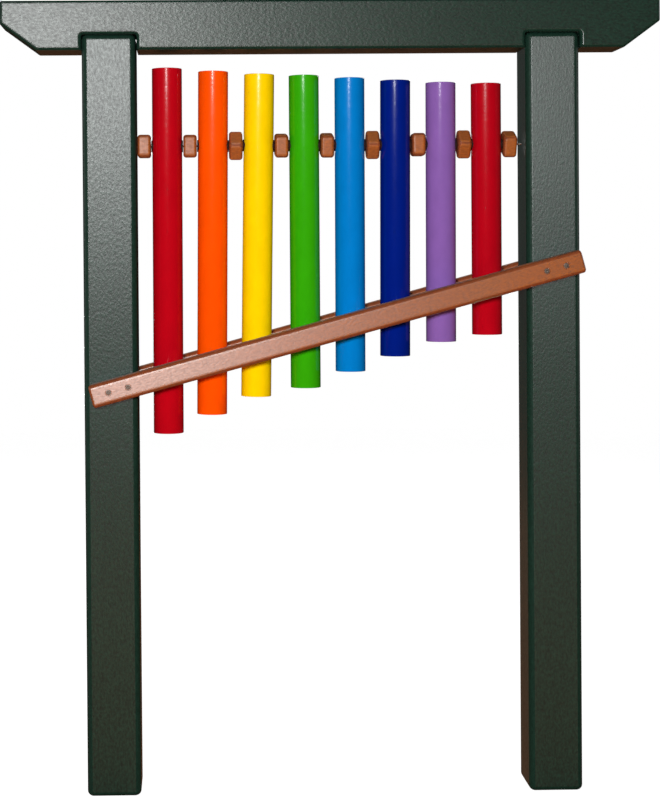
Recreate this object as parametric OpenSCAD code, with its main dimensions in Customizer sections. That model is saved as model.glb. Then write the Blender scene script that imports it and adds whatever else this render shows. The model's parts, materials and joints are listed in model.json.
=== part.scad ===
// Outdoor tube xylophone: eight tuned tubes hang on one taut cable between two
// plastic-lumber posts, with a sloping guide rail in front of them and one behind.
// Millimetres. X runs from the left post to the right post, Y from front to back,
// Z up. The origin is on the ground, midway between the posts.

/* [Frame] */
// Width and depth of a post and depth of the header beam
lumber_w = 88.9; // [80:0.1:100]
// Height of the posts
post_h = 1257; // [1150:1:1400]
// Distance between the centres of the posts
post_span = 732; // [725:1:760]
// Rounding of the long edges of a post
post_edge_r = 9.5; // [4:0.5:14]
// Rounding of the end edges of a post
post_end_r = 9.5; // [3:0.5:12]

/* [Header beam] */
// Length of the header beam
beam_len = 1090; // [1050:1:1200]
// Height of the header beam
beam_h = 82; // [70:0.5:95]
// Depth of the notch that each post's top sits in
notch_depth = 26; // [15:1:35]
// How much wider than a post each notch is
notch_slack = 1.8; // [1.6:0.1:6]
// Sideways offset of each notch from its post
notch_shift = 0.8; // [0:0.1:0.8]
// Length of the sloping cut under each end
end_cut_len = 60; // [30:1:80]
// Height of the sloping cut under each end
end_cut_h = 44; // [20:1:50]
// Rounding of the beam's long edges
beam_edge_r = 6.4; // [5.5:0.1:10]
// Rounding of the beam's end edges
beam_end_r = 5; // [2:0.5:5]

/* [Guide rails] */
// Width and thickness of the square rail stock
rail_w = 38.1; // [30:0.1:45]
// Length of a rail
rail_len = 834; // [810:1:860]
// Slope of the rails in degrees, rising to the right
rail_slope = 15; // [10:0.5:18]
// Height of a rail's centreline midway along it
rail_mid_z = 771; // [740:1:800]
// Sideways offset of the middle of a rail
rail_mid_x = 5; // [0:1:6]
// Rounding of a rail's long edges
rail_edge_r = 8; // [3:0.5:12]
// Rounding of a rail's end edges
rail_end_r = 4.5; // [2:0.5:8]
// Distances of the two screws from a rail's end
rail_screw_at = [30, 63];

/* [Tubes] */
// Outer diameter of a tube
tube_d = 50; // [44:0.5:52]
// Wall thickness of a tube
tube_wall = 3; // [2:0.5:4]
// Length of the longest tube
tube_len = 607; // [590:1:615]
// Distance between neighbouring tubes
tube_pitch = 76.2; // [75.6:0.1:77]
// Gap between the left post and the longest tube
first_gap = 25.45; // [25:0.05:27]
// Share of a tube's length that is above the cable, before the fixed part
tube_hang_share = 0.15; // [0.12:0.01:0.18]
// Fixed part of a tube's height above the cable
tube_hang_fixed = 38; // [30:1:42]
// How fast the tubes get shorter: 0.5 is the law of a plain free bar
tuning_exponent = 0.535; // [0.5:0.005:0.55]

/* [Cable and spacers] */
// Height of the cable
cable_z = 1074.5; // [1060:0.5:1090]
// Diameter of the cable
cable_d = 3.2; // [2.5:0.1:4]
// Free play between a spacer block and each of its neighbours
spacer_play = 0.5; // [0.5:0.1:1.5]
// Rounding of a spacer block's end edges
spacer_end_r = 5; // [2:0.5:6]

/* [Hidden] */

$fn = 64;
skin = 1;

// Major scale in semitones above the longest tube, with each tube's colour and small lean
semitones = [0, 2, 4, 5, 7, 9, 11, 12];
tube_lean = [0.15, 0.6, 0.95, 0, 0.15, 0.35, 0.2, 0];
red = [0.66, 0.01, 0.03];
orange = [1.0, 0.31, 0.0];
yellow = [1.0, 0.82, 0.0];
green = [0.19, 0.63, 0.02];
light_blue = [0.0, 0.48, 0.80];
dark_blue = [0.0, 0.10, 0.50];
purple = [0.53, 0.37, 0.67];
lumber_green = [0.13, 0.20, 0.17];
cedar = [0.68, 0.42, 0.28];
rubber_black = [0.06, 0.06, 0.06];
steel = [0.62, 0.62, 0.60];
aluminium = [0.78, 0.78, 0.78];

// Angle that each spacer block rests at on the cable, in degrees
spacer_turn = [0, 3, 45, 9, 12, 45, 0, 42, 22];

beam_z = post_h - notch_depth;
beam_top = beam_z + beam_h;
notch_corner_r = 4;
post_x = post_span / 2;
tube_first_x = -post_x + lumber_w / 2 + first_gap + tube_d / 2;

screw_head_d = 8.8;
screw_head_h = 3.6;
screw_shank_d = 4.8;
screw_len = 76;
screw_tip = 5;
screw_tip_d = 0.8;
drive_w = 2.8;
drive_depth = 2;
screw_recess_d = 10;
screw_recess = 1.2;
screw_fit = 0.1;

lag_head_d = 15;
lag_head_h = 5;
lag_shank_d = 6.4;
lag_len = 120;
lag_tip = 6;
lag_tip_d = 1;
lag_drive_w = 6;
lag_drive_depth = 3;
lag_recess_d = 18;
lag_recess = 9;
lag_offset = 22;

cable_bore_d = 4.8;
fitting_bore_d = 20;
fitting_depth = 13;
washer_d = 17;
washer_t = 1.6;
stop_d = 8;
stop_len = 9.5;
cable_tail = 1.4;
cable_end = post_x + lumber_w / 2 - fitting_depth + washer_t + stop_len + cable_tail;

grommet_flange_d = 20;
grommet_neck_d = 12;
grommet_lip_d = 15;
grommet_lip = 3;
grommet_proud = 1.4;
// How far inside the tube's outer radius a flange's blank starts
flange_root = 4;
spacer_len = tube_pitch - tube_d - 2 * grommet_proud - 2 * spacer_play;

function tube_length(i) = tube_len * pow(2, -tuning_exponent * semitones[i] / 12);
function tube_above(i) = tube_hang_share * tube_length(i) + tube_hang_fixed;
function tube_x(i) = tube_first_x + i * tube_pitch;
function spacer_x(i) = tube_first_x + (i - 0.5) * tube_pitch;
// Where a screw sits along a rail, measured from the rail's middle
function rail_screw_s(k) = (k < 2 ? -1 : 1) * (rail_len / 2 - rail_screw_at[k % 2]);

// Rectangle with rounded corners, centred
module rounded_rect(w, h, r) {
    square([w - 2 * r, h], center = true);
    square([w, h - 2 * r], center = true);
    for (sx = [-1, 1], sy = [-1, 1])
        translate([sx * (w / 2 - r), sy * (h / 2 - r)]) circle(r);
}

// Bar along X with rounded long edges and rounded end edges, centred
module rounded_bar(len, w, h, edge_r, end_r) {
    intersection() {
        rotate([90, 0, 90]) linear_extrude(len, center = true) rounded_rect(w, h, edge_r);
        rotate([90, 0, 0]) linear_extrude(w + 2 * skin, center = true) rounded_rect(len, h, end_r);
        linear_extrude(h + 2 * skin, center = true) rounded_rect(len, w, end_r);
    }
}

// Places its children at each screw of a rail, on the rail's outer face
module at_rail_screws() {
    for (k = [0:3])
        translate([rail_mid_x, -lumber_w / 2 - rail_w, rail_mid_z])
            rotate([0, -rail_slope, 0])
                translate([rail_screw_s(k), 0, 0]) children();
}

// Countersunk hole of a rail screw, with the recess that its head sits in
module rail_screw_hole() {
    rotate([-90, 0, 0]) {
        translate([0, 0, -skin]) cylinder(h = screw_recess + skin, d = screw_recess_d);
        translate([0, 0, screw_recess])
            cylinder(h = screw_head_h, d1 = screw_head_d + screw_fit, d2 = screw_shank_d + screw_fit);
        cylinder(h = screw_recess + screw_len + skin, d = screw_shank_d + screw_fit);
    }
}

// Flat-headed screw with a square drive, its head facing -Y
module rail_screw() {
    rotate([-90, 0, 0]) difference() {
        union() {
            cylinder(h = screw_head_h, d1 = screw_head_d, d2 = screw_shank_d);
            cylinder(h = screw_len - screw_tip, d = screw_shank_d);
            translate([0, 0, screw_len - screw_tip])
                cylinder(h = screw_tip, d1 = screw_shank_d, d2 = screw_tip_d);
        }
        cube([drive_w, drive_w, 2 * drive_depth], center = true);
    }
}

// Places its children at each header screw, at the bottom of its recess
module at_header_screws() {
    for (sx = [-1, 1], sy = [-1, 1])
        translate([sx * post_x, sy * lag_offset, beam_top - lag_recess]) children();
}

// Structural screw with a round head, driven downwards
module header_screw() {
    difference() {
        union() {
            cylinder(h = lag_head_h, d = lag_head_d);
            translate([0, 0, -lag_len]) cylinder(h = lag_len + skin, d = lag_shank_d);
            translate([0, 0, -lag_len - lag_tip]) cylinder(h = lag_tip, d1 = lag_tip_d, d2 = lag_shank_d);
        }
        translate([0, 0, lag_head_h])
            cylinder(h = 2 * lag_drive_depth, d = lag_drive_w, center = true, $fn = 6);
    }
}

// Post with the bores of its cable fitting and screws; side is -1 left, 1 right
module post(side) {
    outer = post_x + lumber_w / 2;
    color(lumber_green) difference() {
        translate([side * post_x, 0, post_h / 2]) rotate([0, 90, 0])
            rounded_bar(post_h, lumber_w, lumber_w, post_edge_r, post_end_r);
        translate([side * post_x, 0, cable_z]) rotate([0, 90, 0])
            cylinder(h = lumber_w + 2 * skin, d = cable_bore_d, center = true);
        translate([side * (outer - fitting_depth / 2 + skin), 0, cable_z]) rotate([0, 90, 0])
            cylinder(h = fitting_depth + 2 * skin, d = fitting_bore_d, center = true);
        at_rail_screws() rail_screw_hole();
        mirror([0, 1, 0]) at_rail_screws() rail_screw_hole();
        at_header_screws() translate([0, 0, -lag_len - lag_tip - skin])
            cylinder(h = lag_len + lag_tip + skin, d = lag_shank_d + screw_fit);
    }
}

module left_post() post(-1);
module right_post() post(1);

// Side view of the header beam, its underside at the origin, with the cuts under both ends
module header_outline() {
    half = beam_len / 2;
    polygon([
        [-half, beam_h], [half, beam_h], [half, end_cut_h], [half - end_cut_len, 0],
        [end_cut_len - half, 0], [-half, end_cut_h]
    ]);
}

module header_beam() {
    color(lumber_green) difference() {
        intersection() {
            translate([0, 0, beam_z + beam_h / 2])
                rounded_bar(beam_len, lumber_w, beam_h, beam_edge_r, beam_end_r);
            translate([0, 0, beam_z]) rotate([90, 0, 0])
                linear_extrude(lumber_w + 2 * skin, center = true) header_outline();
        }
        for (side = [-1, 1])
            translate([side * post_x + notch_shift, 0, beam_z - notch_depth / 2])
                rotate([90, 0, 0]) linear_extrude(lumber_w + 2 * skin, center = true)
                    rounded_rect(lumber_w + notch_slack, 3 * notch_depth, notch_corner_r);
        at_header_screws() cylinder(h = lag_recess + skin, d = lag_recess_d);
        at_header_screws() translate([0, 0, -beam_h])
            cylinder(h = beam_h + skin, d = lag_shank_d + screw_fit);
    }
}

// Square rail on the posts' front faces
module guide_rail() {
    color(cedar) difference() {
        translate([rail_mid_x, -lumber_w / 2 - rail_w / 2, rail_mid_z])
            rotate([0, -rail_slope, 0])
                rounded_bar(rail_len, rail_w, rail_w, rail_edge_r, rail_end_r);
        at_rail_screws() rail_screw_hole();
    }
}

module front_guide_rail() guide_rail();
module rear_guide_rail() mirror([0, 1, 0]) guide_rail();

module front_rail_screws() color(steel) at_rail_screws() translate([0, screw_recess, 0]) rail_screw();
module rear_rail_screws() mirror([0, 1, 0]) front_rail_screws();
module header_screws() color(steel) at_header_screws() header_screw();

module suspension_cable() {
    color(steel) translate([0, 0, cable_z]) rotate([0, 90, 0])
        cylinder(h = 2 * cable_end, d = cable_d, center = true);
}

// Washer at the bottom of the post's fitting bore
module cable_washer(side) {
    x = post_x + lumber_w / 2 - fitting_depth + washer_t / 2;
    color(steel) translate([side * x, 0, cable_z]) rotate([0, 90, 0]) difference() {
        cylinder(h = washer_t, d = washer_d, center = true);
        cylinder(h = washer_t + skin, d = cable_d + 0.4, center = true);
    }
}

module left_cable_washer() cable_washer(-1);
module right_cable_washer() cable_washer(1);

// Swaged sleeve that stops the cable from pulling through the washer
module cable_stop(side) {
    x = post_x + lumber_w / 2 - fitting_depth + washer_t + stop_len / 2;
    color(aluminium) translate([side * x, 0, cable_z]) rotate([0, 90, 0]) difference() {
        cylinder(h = stop_len, d = stop_d, center = true);
        cylinder(h = stop_len + skin, d = cable_d, center = true);
    }
}

module left_cable_stop() cable_stop(-1);
module right_cable_stop() cable_stop(1);

// Moves its children from the cable's own place to where tube i hangs on it
module on_cable(i) {
    translate([tube_x(i), 0, cable_z]) rotate([0, tube_lean[i], 0]) children();
}

// Tube open at both ends, with the cross-hole that its grommets sit in
module tube(i, paint) {
    color(paint) on_cable(i) difference() {
        translate([0, 0, tube_above(i) - tube_length(i)]) cylinder(h = tube_length(i), d = tube_d);
        translate([0, 0, tube_above(i) - tube_length(i) - skin])
            cylinder(h = tube_length(i) + 2 * skin, d = tube_d - 2 * tube_wall);
        rotate([0, 90, 0]) cylinder(h = tube_d + 2 * skin, d = grommet_neck_d, center = true);
    }
}

// Pair of rubber bushes in a tube's cross-hole, with flanges that follow its wall
module grommets(i) {
    wall_in = tube_d / 2 - tube_wall;
    face = tube_d / 2 + grommet_proud;
    color(rubber_black) on_cable(i) for (side = [-1, 1]) scale([side, 1, 1]) difference() {
        union() {
            difference() {
                translate([tube_d / 2 - flange_root, 0, 0]) rotate([0, 90, 0])
                    cylinder(h = flange_root + grommet_proud, d = grommet_flange_d);
                cylinder(h = 2 * grommet_flange_d, d = tube_d, center = true);
            }
            intersection() {
                translate([wall_in - grommet_lip, 0, 0]) rotate([0, 90, 0])
                    cylinder(h = grommet_lip + skin, d = grommet_lip_d);
                cylinder(h = 2 * grommet_flange_d, d = 2 * wall_in, center = true);
            }
            translate([wall_in - grommet_lip, 0, 0]) rotate([0, 90, 0])
                cylinder(h = face - wall_in + grommet_lip, d = grommet_neck_d);
        }
        rotate([0, 90, 0]) cylinder(h = 2 * face, d = cable_bore_d);
    }
}

// Square block, free to spin on the cable between two tubes
module spacer(i) {
    color(cedar) translate([spacer_x(i), 0, cable_z]) rotate([spacer_turn[i], 0, 0]) difference() {
        rounded_bar(spacer_len, rail_w, rail_w, rail_edge_r, spacer_end_r);
        rotate([0, 90, 0]) cylinder(h = spacer_len + 2 * skin, d = cable_bore_d, center = true);
    }
}

left_post();
right_post();
header_beam();
front_guide_rail();
rear_guide_rail();
suspension_cable();
left_cable_washer();
right_cable_washer();
left_cable_stop();
right_cable_stop();
header_screws();
front_rail_screws();
rear_rail_screws();
tube(0, red);  // red_tube
tube(1, orange);  // orange_tube
tube(2, yellow);  // yellow_tube
tube(3, green);  // green_tube
tube(4, light_blue);  // light_blue_tube
tube(5, dark_blue);  // dark_blue_tube
tube(6, purple);  // purple_tube
tube(7, red);  // high_red_tube
grommets(0);  // red_tube_grommets
grommets(1);  // orange_tube_grommets
grommets(2);  // yellow_tube_grommets
grommets(3);  // green_tube_grommets
grommets(4);  // light_blue_tube_grommets
grommets(5);  // dark_blue_tube_grommets
grommets(6);  // purple_tube_grommets
grommets(7);  // high_red_tube_grommets
spacer(0);  // spacer_block_1
spacer(1);  // spacer_block_2
spacer(2);  // spacer_block_3
spacer(3);  // spacer_block_4
spacer(4);  // spacer_block_5
spacer(5);  // spacer_block_6
spacer(6);  // spacer_block_7
spacer(7);  // spacer_block_8
spacer(8);  // spacer_block_9
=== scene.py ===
"""Looks of the outdoor tube xylophone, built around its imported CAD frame. Metres, +Z up."""

import json
import math

import bmesh
import bpy
from mathutils import Matrix, Vector


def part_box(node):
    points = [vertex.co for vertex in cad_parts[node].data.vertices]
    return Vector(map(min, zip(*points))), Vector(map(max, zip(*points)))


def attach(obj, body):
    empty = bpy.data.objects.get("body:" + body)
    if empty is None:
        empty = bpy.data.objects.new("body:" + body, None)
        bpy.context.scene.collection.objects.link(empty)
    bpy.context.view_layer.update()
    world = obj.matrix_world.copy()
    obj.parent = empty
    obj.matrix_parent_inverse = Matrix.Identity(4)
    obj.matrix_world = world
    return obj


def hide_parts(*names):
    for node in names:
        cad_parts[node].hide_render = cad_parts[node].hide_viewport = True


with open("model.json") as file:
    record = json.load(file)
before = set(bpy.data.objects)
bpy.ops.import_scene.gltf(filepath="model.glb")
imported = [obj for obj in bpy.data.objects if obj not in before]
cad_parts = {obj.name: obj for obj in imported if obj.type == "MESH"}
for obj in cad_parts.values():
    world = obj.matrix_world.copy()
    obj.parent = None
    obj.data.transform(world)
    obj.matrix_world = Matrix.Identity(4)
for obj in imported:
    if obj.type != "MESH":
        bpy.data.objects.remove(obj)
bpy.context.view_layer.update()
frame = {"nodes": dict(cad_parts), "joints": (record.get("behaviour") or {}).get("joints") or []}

MM = 0.001
TUBES = ("red", "orange", "yellow", "green", "light_blue", "dark_blue", "purple", "high_red")
JOINTS = {joint["name"]: joint for joint in frame["joints"]}

# ------------------------------------------------------------------ camera

CAMERA_AT = (-0.236, -2.903, 0.911)
CAMERA_YAW = math.radians(-0.95)
CAMERA_PITCH = math.radians(-0.66)
CAMERA_ROLL = math.radians(0.44)


def make_camera():
    """Camera in front of the left half of the xylophone, a little below the beam, looking along +Y."""
    data = bpy.data.cameras.new("camera")
    data.sensor_width = 36
    data.lens = 78.2
    data.shift_x = 0.14
    data.shift_y = -0.17
    camera = bpy.data.objects.new("camera", data)
    bpy.context.scene.collection.objects.link(camera)
    aim = Matrix.Rotation(CAMERA_YAW, 4, "Z") @ Matrix.Rotation(CAMERA_PITCH, 4, "X")
    aim = aim @ Matrix.Rotation(CAMERA_ROLL, 4, "Y") @ Matrix.Rotation(math.pi / 2, 4, "X")
    camera.matrix_world = Matrix.Translation(CAMERA_AT) @ aim
    bpy.context.scene.camera = camera


# ------------------------------------------------------------------ mesh building

ARC_STEP = math.radians(11.25)
SHARP = math.radians(38)
SHARPEST = 0.05 * MM


def rounded(corners, inset=0):
    """Points along a counter-clockwise outline through corners (x, y, radius), drawn in by inset."""
    outline = []
    for i, (x, y, radius) in enumerate(corners):
        here = Vector((x, y))
        back = (Vector(corners[i - 1][:2]) - here).normalized()
        ahead = (Vector(corners[(i + 1) % len(corners)][:2]) - here).normalized()
        turn = math.atan2(-back.x * ahead.y + back.y * ahead.x, -back.dot(ahead))
        side = math.copysign(1, turn)
        reach = max(SHARPEST, radius - side * inset)
        inward = (back + ahead).normalized() / math.cos(turn / 2)
        centre = here + inward * (side * inset + reach)
        flat = Vector((-back.y, back.x))
        steps = max(2, math.ceil(abs(turn) / ARC_STEP))
        for k in range(steps + 1):
            normal = Matrix.Rotation(turn * k / steps, 2) @ flat
            outline.append(centre + side * reach * normal)
    return outline


def rectangle(width, height, radius):
    """Corners of a rectangle centred on the origin."""
    corners = [(-width, -height), (width, -height), (width, height), (-width, height)]
    return [(x / 2, y / 2, radius) for x, y in corners]


def skin(rings, wrap=False, first=0):
    """Points and faces of a skin over rings of equally many points.

    It gets flat ends unless it wraps round, and its points are numbered from first.
    """
    count = len(rings[0])
    points = [tuple(point) for ring in rings for point in ring]
    faces = []
    for k in range(len(rings) if wrap else len(rings) - 1):
        low = first + k * count
        high = first + (k + 1) % len(rings) * count
        for i in range(count):
            j = (i + 1) % count
            faces.append((low + i, low + j, high + j, high + i))
    if not wrap:
        faces.append(tuple(first + i for i in reversed(range(count))))
        faces.append(tuple(first + (len(rings) - 1) * count + i for i in range(count)))
    return points, faces


def to_mesh(name, points, faces):
    """Mesh with doubled points merged and its normals outward."""
    mesh = bpy.data.meshes.new(name)
    mesh.from_pydata(points, [], faces)
    work = bmesh.new()
    work.from_mesh(mesh)
    bmesh.ops.remove_doubles(work, verts=work.verts, dist=1e-7)
    bmesh.ops.recalc_face_normals(work, faces=work.faces)
    work.to_mesh(mesh)
    work.free()
    return mesh


def prism(name, corners, depth, edge_r, steps=8):
    """Solid with an outline through corners, depth along Z and centred, its end edges rounded by edge_r."""
    rings = []
    for k in range(steps + 1):
        angle = math.pi / 2 * k / steps
        inset = edge_r * (1 - math.sin(angle))
        z = depth / 2 - edge_r * (1 - math.cos(angle))
        rings.append([(x, y, z) for x, y in rounded(corners, inset)])
    rings = [[(x, y, -z) for x, y, z in ring] for ring in rings] + rings[::-1]
    return to_mesh(name, *skin(rings))


def lathe(name, profile, count=96, wrap=False):
    """Solid turned about Z from (radius, z) points that run outward along the bottom and then up."""
    rings = []
    for radius, z in profile:
        rings.append([
            (radius * math.cos(turn), radius * math.sin(turn), z)
            for turn in (2 * math.pi * i / count for i in range(count))
        ])
    return to_mesh(name, *skin(rings, wrap))


def cut(mesh, cutters):
    """The mesh with the cutter meshes taken away from it."""
    scene = bpy.context.scene.collection
    body = bpy.data.objects.new("body_to_cut", mesh)
    scene.objects.link(body)
    tools = []
    for cutter in cutters:
        tool = bpy.data.objects.new("cutter", cutter)
        scene.objects.link(tool)
        tools.append(tool)
        modifier = body.modifiers.new("cut", "BOOLEAN")
        modifier.operation = "DIFFERENCE"
        modifier.solver = "EXACT"
        modifier.object = tool
    bpy.context.view_layer.update()
    result = bpy.data.meshes.new_from_object(body.evaluated_get(bpy.context.evaluated_depsgraph_get()))
    result.name = mesh.name
    for used in [body] + tools:
        bpy.data.objects.remove(used)
    return result


def turned(x=0, y=0, z=0):
    """Rotation by degrees about X, then Y, then Z."""
    spin = Matrix.Rotation(math.radians(z), 4, "Z") @ Matrix.Rotation(math.radians(y), 4, "Y")
    return spin @ Matrix.Rotation(math.radians(x), 4, "X")


def moved(mesh, matrix):
    """The mesh, carried by the matrix."""
    mesh.transform(matrix)
    return mesh


def piece(name, mesh, body, nodes, materials, grain=None, second=None):
    """Object for a mesh in the row frame. Its own X axis runs along grain, the matrix that says so.

    The faces that second picks, in the object's own frame, get the second material.
    """
    mesh.name = name
    ob = bpy.data.objects.new(name, mesh)
    bpy.context.scene.collection.objects.link(ob)
    if grain is not None:
        mesh.transform(grain.inverted())
        ob.matrix_world = grain
    mesh.shade_smooth()
    mesh.set_sharp_from_angle(angle=SHARP)
    modifier = ob.modifiers.new("weighted_normals", "WEIGHTED_NORMAL")
    modifier.keep_sharp = True
    mesh.materials.clear()
    for material in materials:
        mesh.materials.append(material)
    if second is not None:
        for face in mesh.polygons:
            face.material_index = int(second(face))
    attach(ob, body)
    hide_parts(*nodes)
    return ob


def corners_beyond(degrees):
    """Picks the faces of a piece whose look isn't that of its long sides: its ends, rounded corners,
    bores and sloping cuts, which turn further than this from its own Y and Z axes.
    """
    limit = math.cos(math.radians(degrees))
    return lambda face: max(abs(face.normal.y), abs(face.normal.z)) < limit


# ------------------------------------------------------------------ materials


class Paint:
    """Builds one node-based material around a Principled shader."""

    def __init__(self, name):
        self.material = bpy.data.materials.new(name)
        self.material.use_nodes = True
        self.tree = self.material.node_tree
        self.shader = self.tree.nodes["Principled BSDF"]
        self.coords = self.add("ShaderNodeTexCoord").outputs["Object"]

    def add(self, kind, **settings):
        """New node, with its own settings."""
        new = self.tree.nodes.new(kind)
        for key, value in settings.items():
            setattr(new, key, value)
        return new

    def feed(self, socket, value):
        """Links an output into a socket, or sets the socket to a plain value."""
        if isinstance(value, bpy.types.NodeSocket):
            self.tree.links.new(value, socket)
        else:
            socket.default_value = value

    def set(self, **inputs):
        """Feeds the shader's sockets, with _ for the spaces in their names."""
        for key, value in inputs.items():
            self.feed(self.shader.inputs[key.replace("_", " ")], value)

    def noise(self, scale, detail=2.0, roughness=0.5, stretch=(1, 1, 1), shift=(0, 0, 0)):
        """Noise from 0 to 1 with about `scale` marks a metre, longer where stretch is small."""
        mapping = self.add("ShaderNodeMapping")
        self.feed(mapping.inputs["Vector"], self.coords)
        mapping.inputs["Scale"].default_value = stretch
        mapping.inputs["Location"].default_value = shift
        noise = self.add("ShaderNodeTexNoise")
        self.feed(noise.inputs["Vector"], mapping.outputs["Vector"])
        noise.inputs["Scale"].default_value = scale
        noise.inputs["Detail"].default_value = detail
        noise.inputs["Roughness"].default_value = roughness
        return noise.outputs["Fac"]

    def ramp(self, factor, stops):
        """Colour along stops of (position, colour)."""
        ramp = self.add("ShaderNodeValToRGB")
        self.feed(ramp.inputs["Fac"], factor)
        points = ramp.color_ramp.elements
        while len(points) < len(stops):
            points.new(0.5)
        for point, (position, colour) in zip(points, stops):
            point.position = position
            point.color = (*colour, 1)
        return ramp.outputs["Color"]

    def span(self, factor, low, high, start=0.0, end=1.0):
        """Number from low to high as factor goes from start to end."""
        span = self.add("ShaderNodeMapRange")
        for name, value in zip(
            ("Value", "From Min", "From Max", "To Min", "To Max"), (factor, start, end, low, high)
        ):
            self.feed(span.inputs[name], value)
        return span.outputs["Result"]

    def math(self, operation, first, second):
        """Arithmetic on two numbers."""
        result = self.add("ShaderNodeMath", operation=operation)
        self.feed(result.inputs[0], first)
        self.feed(result.inputs[1], second)
        return result.outputs["Value"]

    def mix(self, factor, first, second, blend="MIX"):
        """Mix of two colours. The node's sockets of one name are told apart by their number."""
        first_colour, second_colour, result_colour = 6, 7, 2
        mix = self.add("ShaderNodeMix", data_type="RGBA", blend_type=blend)
        self.feed(mix.inputs["Factor"], factor)
        self.feed(mix.inputs[first_colour], first)
        self.feed(mix.inputs[second_colour], second)
        return mix.outputs[result_colour]

    def bump(self, height, depth, before=None):
        """Normal from a height of 0 to 1 that stands for depth in metres."""
        bump = self.add("ShaderNodeBump")
        bump.inputs["Distance"].default_value = depth
        self.feed(bump.inputs["Height"], height)
        if before is not None:
            self.feed(bump.inputs["Normal"], before)
        return bump.outputs["Normal"]


def shade_of(colour, factor):
    """The colour, made brighter or darker."""
    return tuple(min(1.0, channel * factor) for channel in colour)


def lumber(name, colour, gloss, drawn, specular, contrast, relief):
    """Moulded plastic lumber: mottled, and drawn along its length so that its sheen spreads sideways."""
    paint = Paint(name)
    mottle = paint.noise(290, 3, 0.6, (0.6, 1, 1))
    streak = paint.noise(420, 3, 0.6, (0.25, 1, 1), (0.3, 0.1, 0.2))
    patch = paint.noise(11, 3, 0.55, (0.35, 1, 1), (0.7, 0.4, 0.1))
    marks = paint.math("ADD", paint.math("MULTIPLY", mottle, 0.65), paint.math("MULTIPLY", streak, 0.35))
    dark = shade_of(colour, 1 - contrast)
    light = shade_of(colour, 1 + contrast)
    base = paint.ramp(marks, [(0.38, dark), (0.5, colour), (0.62, light)])
    cloud = paint.ramp(patch, [(0.3, (0.88, 0.88, 0.88)), (0.7, (1.0, 1.0, 1.0))])
    across = paint.add("ShaderNodeTangent", direction_type="RADIAL", axis="X")
    paint.set(
        Base_Color=paint.mix(1.0, base, cloud, "MULTIPLY"),
        Roughness=paint.span(marks, gloss + 0.04, gloss - 0.04, 0.38, 0.62),
        Specular_IOR_Level=specular,
        Anisotropic=drawn,
        Tangent=across.outputs["Tangent"],
        Normal=paint.bump(marks, relief),
    )
    return paint.material


def enamel(name, colour):
    """Glossy powder coat with a slight orange peel. Its highlight spreads a little round the tube."""
    paint = Paint(name)
    peel = paint.noise(260, 2, 0.5)
    wave = paint.noise(38, 3, 0.6, (1, 1, 0.6), (0.2, 0.5, 0.1))
    base = paint.ramp(wave, [(0.3, shade_of(colour, 0.94)), (0.7, shade_of(colour, 1.04))])
    normal = paint.bump(peel, 0.04 * MM)
    round_tube = paint.add("ShaderNodeTangent", direction_type="RADIAL", axis="Z")
    paint.set(
        Base_Color=base,
        Roughness=paint.span(peel, 0.15, 0.19, 0.3, 0.7),
        Anisotropic=0.7,
        Tangent=round_tube.outputs["Tangent"],
        Normal=paint.bump(wave, 0.2 * MM, normal),
    )
    return paint.material


def metal(name, colour, roughness, scale=700, stretch=(0.15, 1, 1)):
    """Bare metal with fine drawn marks and a few duller clouds."""
    paint = Paint(name)
    marks = paint.noise(scale, 3, 0.6, stretch)
    cloud = paint.noise(90, 2, 0.5, (1, 1, 1), (0.6, 0.2, 0.9))
    base = paint.ramp(cloud, [(0.3, shade_of(colour, 0.8)), (0.7, shade_of(colour, 1.05))])
    paint.set(
        Base_Color=base,
        Roughness=paint.span(marks, roughness - 0.08, roughness + 0.1, 0.3, 0.7),
        Normal=paint.bump(marks, 0.02 * MM),
    )
    paint.shader.inputs["Metallic"].default_value = 1.0
    return paint.material


def rubber(name, colour):
    """Matt black rubber with a dusty bloom."""
    paint = Paint(name)
    bloom = paint.noise(320, 4, 0.6)
    grain = paint.noise(1800, 2, 0.6)
    paint.set(
        Base_Color=paint.ramp(bloom, [(0.35, colour), (0.75, shade_of(colour, 2.2))]),
        Specular_IOR_Level=0.2,
        Roughness=paint.span(grain, 0.5, 0.68, 0.3, 0.7),
        Normal=paint.bump(grain, 0.06 * MM),
    )
    return paint.material


def bare_bore(name):
    """Inside of a tube: drawn aluminium, dulled by handling."""
    return metal(name, (0.62, 0.62, 0.64), 0.38, 500, (1, 1, 0.12))


GREEN_LUMBER = (0.0078, 0.0272, 0.0182)
CEDAR_LUMBER = (0.28, 0.072, 0.006)
CEDAR_BLOCK = (0.315, 0.084, 0.010)
# Darker cedar: painted shade on the rounded edges, ends and bores of the rails and spacer blocks.
SHADED_CEDAR_EDGE = (0.22, 0.056, 0.018)
ENAMELS = {
    "red": (0.43, 0.001, 0.007),
    "orange": (0.91, 0.078, 0.0),
    "yellow": (0.92, 0.62, 0.0),
    "green": (0.03, 0.356, 0.002),
    "light_blue": (0.0, 0.188, 0.562),
    "dark_blue": (0.0, 0.010, 0.191),
    "purple": (0.217, 0.104, 0.382),
    "high_red": (0.41, 0.001, 0.008),
}

# ------------------------------------------------------------------ posts and header beam

POST_EDGE_R = 11 * MM
POST_END_R = 9.5 * MM
FITTING_BORE_R = 10 * MM
FITTING_DEPTH = 13 * MM
CABLE_BORE_R = 2.4 * MM
BEAM_R = 6.4 * MM
BEAM_CORNER_R = 5 * MM
NOTCH_LIP_R = 1.5 * MM
NOTCH_SLACK = 1.8 * MM
NOTCH_SHIFT = 0.8 * MM
NOTCH_CORNER_R = 4 * MM
END_CUT_LEN = 60 * MM
END_CUT_H = 44 * MM
LAG_OFFSET = 22 * MM
LAG_RECESS_R = 9 * MM
LAG_RECESS = 9 * MM

ALONG_X = Matrix.Identity(4)
ALONG_Z = turned(y=-90)
CABLE_Z = JOINTS["red_tube_swing"]["pos_m"][2]


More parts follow.
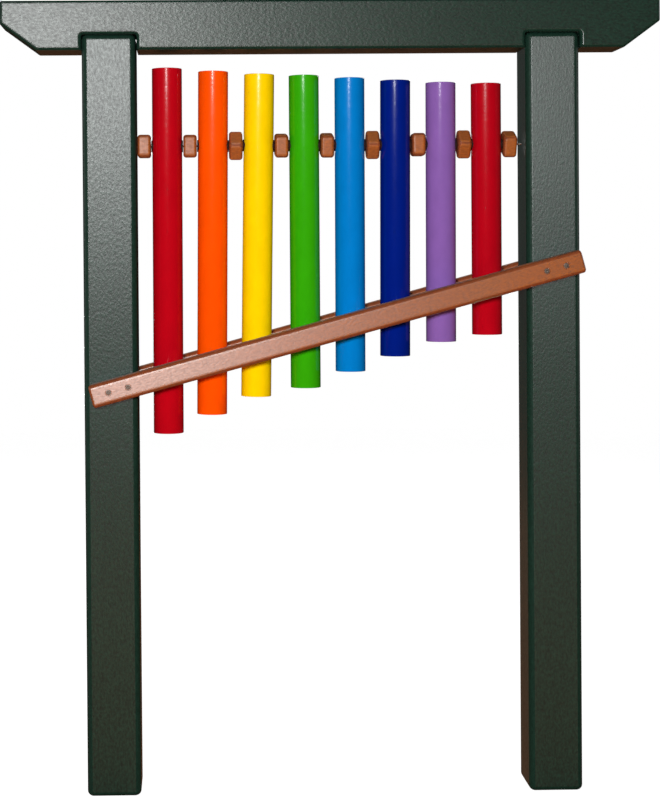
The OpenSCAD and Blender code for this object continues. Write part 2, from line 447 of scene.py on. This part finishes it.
def plug(radius, low, high, count=48):
    """Plain round cutter along Z."""
    return lathe("plug", [(0, low), (radius, low), (radius, high), (0, high)], count)


def make_post(side, name):
    """Post with the cable's bore through it and the round recess of its end fitting."""
    low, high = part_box(name)
    width = high.x - low.x
    centre = (low + high) / 2
    mesh = prism(name, rectangle(width, width, POST_EDGE_R), high.z - low.z, POST_END_R)
    mesh.transform(Matrix.Translation(centre))
    at_cable = Matrix.Translation((centre.x, 0, CABLE_Z)) @ turned(y=90 * side)
    bore = moved(plug(CABLE_BORE_R, -width, width), at_cable)
    recess = moved(plug(FITTING_BORE_R, width / 2 - FITTING_DEPTH, width), at_cable)
    mesh = cut(mesh, [bore, recess])
    return piece(
        name + "_lumber", mesh, "frame", [name], [GREEN, GREEN_CORNER],
        ALONG_Z, corners_beyond(11),
    )


def make_header_beam():
    """Beam with routed edges, sloping cuts under its ends and the notches that the posts' tops sit in."""
    low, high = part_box("header_beam")
    bottom = low.z
    top = high.z
    right = high.x
    half_notch = (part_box("left_post")[1].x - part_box("left_post")[0].x + NOTCH_SLACK) / 2
    notch_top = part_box("left_post")[1].z
    corners = [(right, top, BEAM_CORNER_R), (low.x, top, BEAM_CORNER_R)]
    corners += [(low.x, bottom + END_CUT_H, BEAM_CORNER_R), (low.x + END_CUT_LEN, bottom, BEAM_CORNER_R)]
    for name in ("left_post", "right_post"):
        middle = (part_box(name)[0].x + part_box(name)[1].x) / 2 + NOTCH_SHIFT
        corners.append((middle - half_notch, bottom, NOTCH_LIP_R))
        corners.append((middle - half_notch, notch_top, NOTCH_CORNER_R))
        corners.append((middle + half_notch, notch_top, NOTCH_CORNER_R))
        corners.append((middle + half_notch, bottom, NOTCH_LIP_R))
    corners += [(right - END_CUT_LEN, bottom, BEAM_CORNER_R), (right, bottom + END_CUT_H, BEAM_CORNER_R)]
    mesh = prism("header_beam", corners, high.y - low.y, BEAM_R)
    mesh.transform(Matrix.Rotation(math.pi / 2, 4, "X"))
    recesses = [
        moved(plug(LAG_RECESS_R, -LAG_RECESS, LAG_RECESS), Matrix.Translation((x, y, top)))
        for x, y in lag_places()
    ]
    mesh = cut(mesh, recesses)
    return piece(
        "header_beam_lumber", mesh, "frame", ["header_beam"],
        [GREEN, GREEN_CORNER], ALONG_X, corners_beyond(22),
    )


def lag_places():
    """Where the header screws stand, seen from above."""
    posts = [(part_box(name)[0].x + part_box(name)[1].x) / 2 for name in ("left_post", "right_post")]
    return [(x, y) for x in posts for y in (-LAG_OFFSET, LAG_OFFSET)]


# ------------------------------------------------------------------ guide rails and their screws

RAIL_SLOPE = 15
RAIL_EDGE_R = 8 * MM
RAIL_END_R = 4.5 * MM
RAIL_SCREWS = (30 * MM, 63 * MM)
SCREW_HEAD_R = 4.4 * MM
SCREW_HEAD_H = 3.6 * MM
SCREW_SHANK_R = 2.4 * MM
SCREW_LEN = 76 * MM
SCREW_RECESS_R = 5 * MM
SCREW_RECESS = 1.2 * MM
SCREW_DRIVE = 2.8 * MM
ALONG_RAIL = turned(y=-RAIL_SLOPE)


def rail_length():
    """Length of a rail along its slope, from the box of its CAD node."""
    low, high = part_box("front_guide_rail")
    slope = math.radians(RAIL_SLOPE)
    core = high.y - low.y - 2 * RAIL_END_R
    return (high.x - low.x - 2 * RAIL_END_R - core * math.sin(slope)) / math.cos(slope) + 2 * RAIL_END_R


def on_rail(side, along):
    """Frame on a rail's outer face, at a distance along it from its middle. Z points out of the face."""
    low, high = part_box("front_guide_rail" if side < 0 else "rear_guide_rail")
    middle = Matrix.Translation(((low.x + high.x) / 2, low.y if side < 0 else high.y, (low.z + high.z) / 2))
    return middle @ ALONG_RAIL @ Matrix.Translation((along, 0, 0)) @ turned(x=-90 * side)


def rail_screw_places():
    """Distances of a rail's four screws from its middle."""
    half = rail_length() / 2
    return [sign * (half - along) for sign in (-1, 1) for along in RAIL_SCREWS]


def make_rail(side, name):
    """Sloping rail with a countersunk hole for each screw."""
    low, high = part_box(name)
    width = high.y - low.y
    mesh = prism(name, rectangle(width, width, RAIL_EDGE_R), rail_length(), RAIL_END_R)
    mesh.transform(Matrix.Translation((low + high) / 2) @ ALONG_RAIL @ turned(y=90))
    edge = 0.5 * MM
    profile = [
        (0, -width - MM), (SCREW_SHANK_R, -width - MM), (SCREW_SHANK_R, -SCREW_RECESS - SCREW_HEAD_H),
        (SCREW_HEAD_R, -SCREW_RECESS), (SCREW_RECESS_R, -SCREW_RECESS), (SCREW_RECESS_R, -edge),
        (SCREW_RECESS_R + edge, 0), (SCREW_RECESS_R + 2 * edge, MM), (0, MM),
    ]
    holes = [moved(lathe("hole", profile, 48), on_rail(side, along)) for along in rail_screw_places()]
    mesh = cut(mesh, holes)
    # Rounded edges, ends and holes get the darker cedar: painted shade.
    return piece(
        name + "_lumber", mesh, "frame", [name], [CEDAR, CEDAR_SHADED_CORNER],
        ALONG_RAIL, corners_beyond(18),
    )


def screw_mesh():
    """Flat-headed screw with a square drive, its head's top at the origin and its shank down Z."""
    rim = 0.4 * MM
    profile = [
        (0, -SCREW_LEN), (0.4 * MM, -SCREW_LEN), (SCREW_SHANK_R, -SCREW_LEN + 5 * MM),
        (SCREW_SHANK_R, -SCREW_HEAD_H), (SCREW_HEAD_R, -rim), (SCREW_HEAD_R, -0.15 * MM),
        (SCREW_HEAD_R - 0.2 * MM, 0), (0, 0),
    ]
    drive = prism("drive", rectangle(SCREW_DRIVE, SCREW_DRIVE, 0.25 * MM), 4 * MM, 0.2 * MM, 2)
    return cut(lathe("screw", profile, 48), [drive])


def lag_mesh():
    """Structural screw with a low round head and a hexagonal drive, its head's underside at the origin."""
    low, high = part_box("header_screws")
    head_h = 5 * MM
    head_r = 7.5 * MM
    shank_r = 3.2 * MM
    length = high.z - low.z - head_h
    profile = [
        (0, -length), (0.5 * MM, -length), (shank_r, -length + 6 * MM), (shank_r, -0.6 * MM),
        (shank_r + 0.6 * MM, 0), (head_r - 0.5 * MM, 0), (head_r, 0.5 * MM), (head_r, 2.6 * MM),
        (head_r - 0.5 * MM, 3.6 * MM), (head_r - 1.8 * MM, 4.6 * MM), (head_r - 3.2 * MM, head_h),
        (0, head_h),
    ]
    drive = lathe("drive", [(0, 2 * MM), (3 * MM, 2 * MM), (3 * MM, 7 * MM), (0, 7 * MM)], 6)
    return cut(lathe("lag", profile, 64), [drive])


def group(name, meshes):
    """One mesh of several separate solids."""
    work = bmesh.new()
    for mesh in meshes:
        work.from_mesh(mesh)
    joined = bpy.data.meshes.new(name)
    work.to_mesh(joined)
    work.free()
    return joined


def make_rail_screws(side, name):
    """The four screws of a rail, each turned a different way."""
    sunk = Matrix.Translation((0, 0, -SCREW_RECESS))
    meshes = [
        moved(screw_mesh(), on_rail(side, along) @ turned(z=20 + 31 * k) @ sunk)
        for k, along in enumerate(rail_screw_places())
    ]
    return piece(name + "_steel", group(name, meshes), "frame", [name], [STEEL])


def make_header_screws():
    """The four screws that hold the beam down on the posts."""
    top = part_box("header_beam")[1].z - LAG_RECESS
    meshes = [
        moved(lag_mesh(), Matrix.Translation((x, y, top)) @ turned(z=17 * k))
        for k, (x, y) in enumerate(lag_places())
    ]
    return piece(
        "header_screws_steel", group("header_screws", meshes), "frame", ["header_screws"],
        [STEEL],
    )


# ------------------------------------------------------------------ cable and its fittings

ROPE_LAY = 19 * MM
ROPE_STEPS = 14
WIRE_SIDES = 8
WASHER_BORE_R = 1.8 * MM
WASHER_EASE = 0.25 * MM
STOP_BORE_R = 1.6 * MM
STOP_EASE = 0.5 * MM
STOP_DENT = 0.45 * MM
STOP_STEPS = 28
STOP_SIDES = 48


def strand(radius, wind, phase, length, first):
    """Skin of one strand along X, wound at radius wind about the rope's middle."""
    count = round(length / ROPE_LAY * ROPE_STEPS)
    rings = []
    for k in range(count + 1):
        x = length * (k / count - 0.5)
        turn = phase + 2 * math.pi * x / ROPE_LAY
        out = Vector((0, math.cos(turn), math.sin(turn)))
        slope = 2 * math.pi * wind / ROPE_LAY
        ahead = Vector((1, -slope * math.sin(turn), slope * math.cos(turn))).normalized()
        side = ahead.cross(out)
        middle = Vector((x, 0, 0)) + wind * out
        ring = []
        for i in range(WIRE_SIDES):
            angle = 2 * math.pi * i / WIRE_SIDES
            ring.append(middle + radius * (math.cos(angle) * out + math.sin(angle) * side))
        rings.append(ring)
    return skin(rings, first=first)


def make_cable():
    """Six strands laid round a straight one."""
    low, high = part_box("suspension_cable")
    length = high.x - low.x
    radius = (high.z - low.z) / 6
    points, faces = strand(radius, 0, 0, length, 0)
    for k in range(6):
        more_points, more_faces = strand(radius, 2 * radius, math.pi / 3 * k, length, len(points))
        points += more_points
        faces += more_faces
    mesh = to_mesh("cable", points, faces)
    mesh.transform(Matrix.Translation((low + high) / 2))
    return piece(
        "suspension_cable_rope", mesh, "frame", ["suspension_cable"], [ROPE_STEEL], ALONG_X
    )


def make_washer(side, name):
    """Flat washer with eased edges, at the bottom of the fitting's recess."""
    low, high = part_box(name)
    thick = high.x - low.x
    outer = (high.z - low.z) / 2
    corners = [(WASHER_BORE_R, 0), (outer, 0), (outer, thick), (WASHER_BORE_R, thick)]
    profile = rounded([(r, z, WASHER_EASE) for r, z in corners])
    mesh = lathe(name, profile, 64, wrap=True)
    mesh.transform(Matrix.Translation((low.x if side > 0 else high.x, 0, CABLE_Z)) @ turned(y=90 * side))
    return piece(name + "_steel", mesh, "frame", [name], [STEEL])


def make_stop(side, name):
    """Aluminium sleeve, pressed onto the cable with two rows of dents."""
    low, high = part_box(name)
    length = high.x - low.x
    outer = (high.z - low.z) / 2
    turns = [2 * math.pi * i / STOP_SIDES for i in range(STOP_SIDES)]
    rings = []
    for k in range(STOP_STEPS + 1):
        along = k / STOP_STEPS
        ease = STOP_EASE * max(0, 1 - min(along, 1 - along) * 10) ** 2
        press = math.sin(2 * math.pi * along) ** 4
        ring = []
        for turn in turns:
            dent = STOP_DENT * press * (0.5 + 0.5 * math.cos(4 * turn))
            radius = outer - ease - dent
            ring.append((radius * math.cos(turn), radius * math.sin(turn), length * along))
        rings.append(ring)
    for z in (length, 0):
        rings.append([(STOP_BORE_R * math.cos(turn), STOP_BORE_R * math.sin(turn), z) for turn in turns])
    mesh = to_mesh(name, *skin(rings, wrap=True))
    mesh.transform(Matrix.Translation((low.x if side > 0 else high.x, 0, CABLE_Z)) @ turned(y=90 * side))
    return piece(name + "_sleeve", mesh, "frame", [name], [ALUMINIUM])


# ------------------------------------------------------------------ tubes and grommets

TUBE_WALL = 3 * MM
TUBE_EASE = 0.7 * MM
BY_HOLE = 20 * MM
NECK_R = 6 * MM
FLANGE_R = 10 * MM
LIP_R = 7.5 * MM
LIP = 3 * MM
PROUD = 1.4 * MM


def on_cable(tube):
    """Frame of a tube where it hangs on the cable, with Z along the tube, and its reach down and up."""
    low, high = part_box(tube + "_tube")
    hang = Vector(JOINTS[tube + "_tube_swing"]["pos_m"])
    middle = (low + high) / 2
    lean = math.atan((middle.x - hang.x) / (middle.z - hang.z))
    width = high.y - low.y
    length = (high.z - low.z - width * math.sin(abs(lean))) / math.cos(lean)
    offset = (middle - hang).length
    place = Matrix.Translation(hang) @ Matrix.Rotation(lean, 4, "Y")
    return place, -offset - length / 2, length / 2 - offset, width / 2


def make_tube(tube):
    """Tube with eased rims and the cross-hole that its grommets sit in."""
    place, bottom, top, outer = on_cable(tube)
    inner = outer - TUBE_WALL
    corners = [(inner, bottom), (outer, bottom), (outer, top), (inner, top)]
    outline = [tuple(point) for point in rounded([(r, z, TUBE_EASE) for r, z in corners])]
    rows = [top / 2, BY_HOLE, 0, -BY_HOLE, bottom / 2]
    half = len(outline) // 2
    profile = outline[:half] + [(outer, z) for z in rows[::-1]]
    profile += outline[half:] + [(inner, z) for z in rows]
    mesh = lathe(tube, profile, 128, wrap=True)
    hole = moved(plug(NECK_R, -2 * outer, 2 * outer, 64), turned(y=90))
    mesh = cut(mesh, [hole])
    mesh.transform(place)
    grain = place.to_3x3().to_4x4()
    axis = (grain.inverted() @ place.translation).to_2d()

    def is_inside(face):
        return (face.center.to_2d() - axis).length < inner + 0.05 * MM

    bore = bare_bore(tube + "_bore_metal")
    return piece(
        tube + "_tube_enamelled", mesh, tube + "_tube", [tube + "_tube"],
        [enamel(tube + "_enamel_coat", ENAMELS[tube]), bore], grain, is_inside,
    )


def make_grommets(tube):
    """Pair of rubber bushes whose flanges follow the tube's wall."""
    place, _, _, outer = on_cable(tube)
    inner = outer - TUBE_WALL
    ease = 0.5 * MM
    profile = [
        (CABLE_BORE_R, "lip", ease), (CABLE_BORE_R + ease, "lip", 0), (LIP_R - ease, "lip", 0),
        (LIP_R, "lip", ease), (LIP_R, "inside", 0), (NECK_R, "inside", 0), (NECK_R, "outside", 0),
        ((NECK_R + FLANGE_R) / 2, "outside", 0), (FLANGE_R, "outside", 0),
        (FLANGE_R, "face", -1.2 * ease), (FLANGE_R - 0.3 * ease, "face", -0.4 * ease),
        (FLANGE_R - ease, "face", 0),
        (CABLE_BORE_R + 1.6 * ease, "face", 0), (CABLE_BORE_R, "face", -1.6 * ease),
    ]

    def height(level, y):
        levels = {
            "lip": inner - LIP,
            "inside": math.sqrt(inner ** 2 - y ** 2),
            "outside": math.sqrt(outer ** 2 - y ** 2),
            "face": outer + PROUD,
        }
        return levels[level]

    rings = []
    for radius, level, lift in profile:
        ring = []
        for i in range(64):
            turn = 2 * math.pi * i / 64
            y = radius * math.cos(turn)
            ring.append((height(level, y) + lift, y, radius * math.sin(turn)))
        rings.append(ring)
    right = to_mesh("right_bush", *skin(rings, wrap=True))
    left = moved(right.copy(), turned(z=180))
    mesh = moved(group(tube + "_grommets", [left, right]), place)
    return piece(
        tube + "_tube_grommets_rubber", mesh, tube + "_tube", [tube + "_tube_grommets"],
        [RUBBER],
    )


# ------------------------------------------------------------------ spacer blocks

SPACER_END_R = 5 * MM


def block_turn(name):
    """Angle in degrees that a block is turned by about the cable, read from its largest side face."""
    sides = [face for face in frame["nodes"][name].data.polygons if abs(face.normal.x) < 0.1]
    normal = max(sides, key=lambda face: face.area).normal
    return math.degrees(math.atan2(normal.z, normal.y)) % 90


def make_spacer(name):
    """Square block with a bore, turned as it rests on the cable."""
    low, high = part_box(name)
    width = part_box("front_guide_rail")[1].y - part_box("front_guide_rail")[0].y
    mesh = prism(name, rectangle(width, width, RAIL_EDGE_R), high.x - low.x, SPACER_END_R)
    mesh = cut(mesh, [plug(CABLE_BORE_R, -width, width)])
    spin = turned(x=block_turn(name))
    mesh.transform(Matrix.Translation((low + high) / 2) @ spin @ turned(y=90))
    # Rounded edges, ends and the bore get the darker cedar: painted shade.
    return piece(
        name + "_lumber", mesh, name, [name], [BLOCK, BLOCK_SHADED_CORNER],
        spin, corners_beyond(30),
    )


# ------------------------------------------------------------------ studio

LAMP_AIM = Vector((0, 0, 0.8))


def area_light(name, place, size, watts, gloss=True, diffuse=True, pieces=None, shadow=True):
    """Soft lamp aimed at the object, with or without gloss and diffuse light, for all or some pieces."""
    data = bpy.data.lights.new(name, "AREA")
    data.shape = "DISK"
    data.size = size
    data.energy = watts
    data.use_shadow = shadow
    ob = bpy.data.objects.new(name, data)
    bpy.context.scene.collection.objects.link(ob)
    ob.location = place
    ob.rotation_euler = (LAMP_AIM - Vector(place)).to_track_quat("-Z", "Y").to_euler()
    ob.visible_glossy = gloss
    ob.visible_diffuse = diffuse
    if pieces is not None:
        lit = bpy.data.collections.new(name + "_lit")
        for lit_piece in pieces:
            lit.objects.link(lit_piece)
        ob.light_linking.receiver_collection = lit


def make_world(light, shown):
    """Even surroundings that light the object a little and look white."""
    world = bpy.data.worlds.new("studio")
    bpy.context.scene.world = world
    world.use_nodes = True
    tree = world.node_tree
    background = tree.nodes["Background"]
    background.inputs["Color"].default_value = (1, 1, 1, 1)
    path = tree.nodes.new("ShaderNodeLightPath")
    strength = tree.nodes.new("ShaderNodeMapRange")
    strength.inputs["To Min"].default_value = light
    strength.inputs["To Max"].default_value = shown
    tree.links.new(path.outputs["Is Camera Ray"], strength.inputs["Value"])
    tree.links.new(strength.outputs["Result"], background.inputs["Strength"])


WARM_BOUNCE = (0.62, 0.25, 0.12, 1)
FLOOR_GREY = (0.3, 0.3, 0.3, 1)


def make_floor():
    """Pale round floor that fades out into the surroundings. The light it throws back is warm."""
    radius = 6
    sides = 96
    turns = [2 * math.pi * i / sides for i in range(sides)]
    points = [(radius * math.cos(turn), radius * math.sin(turn), 0) for turn in turns]
    mesh = bpy.data.meshes.new("floor")
    mesh.from_pydata(points, [], [tuple(range(sides))])
    floor = bpy.data.objects.new("floor", mesh)
    bpy.context.scene.collection.objects.link(floor)
    paint = Paint("pale_floor")
    seen = paint.add("ShaderNodeLightPath").outputs["Is Camera Ray"]
    paint.set(
        Base_Color=paint.mix(seen, WARM_BOUNCE, FLOOR_GREY),
        Roughness=0.8,
        Emission_Color=(1, 1, 1, 1),
        Emission_Strength=paint.math("MULTIPLY", seen, 0.94),
    )
    scaled = paint.add("ShaderNodeMapping")
    scaled.inputs["Scale"].default_value = (1 / radius, 1 / radius, 1)
    paint.feed(scaled.inputs["Vector"], paint.coords)
    gradient = paint.add("ShaderNodeTexGradient", gradient_type="SPHERICAL")
    paint.feed(gradient.inputs["Vector"], scaled.outputs["Vector"])
    paint.set(Alpha=paint.span(gradient.outputs["Fac"], 0, 1, 0.05, 0.6))
    mesh.materials.append(paint.material)


def sheen_light(name, place, size, watts, pieces):
    """Lamp that only gives the lumber its sheen, and casts no shadows."""
    area_light(name, place, size, watts, diffuse=False, pieces=pieces, shadow=False)


def make_studio(posts, rails, beam_and_blocks, shiny_pieces):
    """Soft light from all round, sheen for the lumber, highlights for the shiny pieces, a pale floor."""
    lumber_pieces = posts + rails + beam_and_blocks
    area_light("front", (-0.45, -2.98, 1.15), 0.35, 97, gloss=False)
    area_light("rear", (0.0, 3.2, 3.4), 1.6, 95, gloss=False)
    area_light("left", (-3.2, 2.6, 1.8), 1.2, 20, gloss=False)
    area_light("right", (3.2, 2.6, 1.8), 1.2, 24, gloss=False, pieces=lumber_pieces)
    sheen_light("sheen", (-0.75, -2.66, 1.49), 0.3, 134, lumber_pieces)
    left_pieces = posts[:1] + rails + beam_and_blocks[:1]
    right_pieces = posts[1:] + rails + beam_and_blocks[:1]
    area_light("left_sheen", (-4.2, 0.3, 1.3), 0.6, 90, diffuse=False, pieces=left_pieces)
    area_light("right_sheen", (4.2, 0.3, 1.3), 0.6, 90, diffuse=False, pieces=right_pieces)
    area_light("rear_sheen", (0.75, 2.66, 1.49), 0.3, 110, diffuse=False, pieces=beam_and_blocks)
    sheen_light("rear_left_sheen", (-0.75, 2.66, 0.5), 0.3, 110, posts[:1])
    sheen_light("rear_right_sheen", (0.75, 2.66, 0.5), 0.3, 110, posts[1:] + rails)
    area_light("highlight", (-0.45, -2.9, 1.6), 0.12, 22, diffuse=False, pieces=shiny_pieces)
    area_light("rear_highlight", (1.8, 2.6, 2.0), 0.12, 40, diffuse=False, pieces=shiny_pieces)
    make_world(0.012, 1.0)
    make_floor()
    bpy.context.scene.view_settings.view_transform = "Standard"


# ------------------------------------------------------------------ everything

make_camera()

GREEN = lumber("green_plastic_lumber", GREEN_LUMBER, 0.46, 0.68, 0.5, 0.45, 0.6 * MM)
GREEN_CORNER = lumber("green_lumber_corner", GREEN_LUMBER, 0.5, 0.0, 0.05, 0.2, 0.1 * MM)
CEDAR = lumber("cedar_plastic_lumber", CEDAR_LUMBER, 0.48, 0.64, 0.9, 0.22, 0.32 * MM)
# The rails' corner material is the cedar darkened and dulled: painted shade on their rounded edges and
# ends.
CEDAR_SHADED_CORNER = lumber("cedar_lumber_shaded_corner", SHADED_CEDAR_EDGE, 0.5, 0.0, 0.12, 0.14, 0.1 * MM)
BLOCK = lumber("cedar_block_lumber", CEDAR_BLOCK, 0.5, 0.5, 0.45, 0.2, 0.3 * MM)
# The blocks' corner material is the cedar darkened and dulled: painted shade on their rounded edges and
# ends.
BLOCK_SHADED_CORNER = lumber("cedar_block_shaded_corner", SHADED_CEDAR_EDGE, 0.5, 0.0, 0.08, 0.2, 0.12 * MM)
STEEL = metal("screw_steel", (0.4, 0.37, 0.33), 0.5)
ROPE_STEEL = metal("rope_steel", (0.72, 0.72, 0.70), 0.28)
ALUMINIUM = metal("sleeve_aluminium", (0.70, 0.71, 0.72), 0.36)
RUBBER = rubber("black_rubber", (0.014, 0.006, 0.005))

beam_and_blocks = [make_header_beam()]
beam_and_blocks += [make_spacer(f"spacer_block_{number}") for number in range(1, 10)]
posts = [make_post(-1, "left_post"), make_post(1, "right_post")]
rails = [make_rail(-1, "front_guide_rail"), make_rail(1, "rear_guide_rail")]
shiny_pieces = [make_header_screws(), make_cable()]
for side, word in ((-1, "left"), (1, "right")):
    shiny_pieces.append(make_washer(side, word + "_cable_washer"))
    shiny_pieces.append(make_stop(side, word + "_cable_stop"))
for side, word in ((-1, "front"), (1, "rear")):
    shiny_pieces.append(make_rail_screws(side, word + "_rail_screws"))
for tube in TUBES:
    shiny_pieces.append(make_tube(tube))
    shiny_pieces.append(make_grommets(tube))
make_studio(posts, rails, beam_and_blocks, shiny_pieces)

bpy.context.view_layer.update()
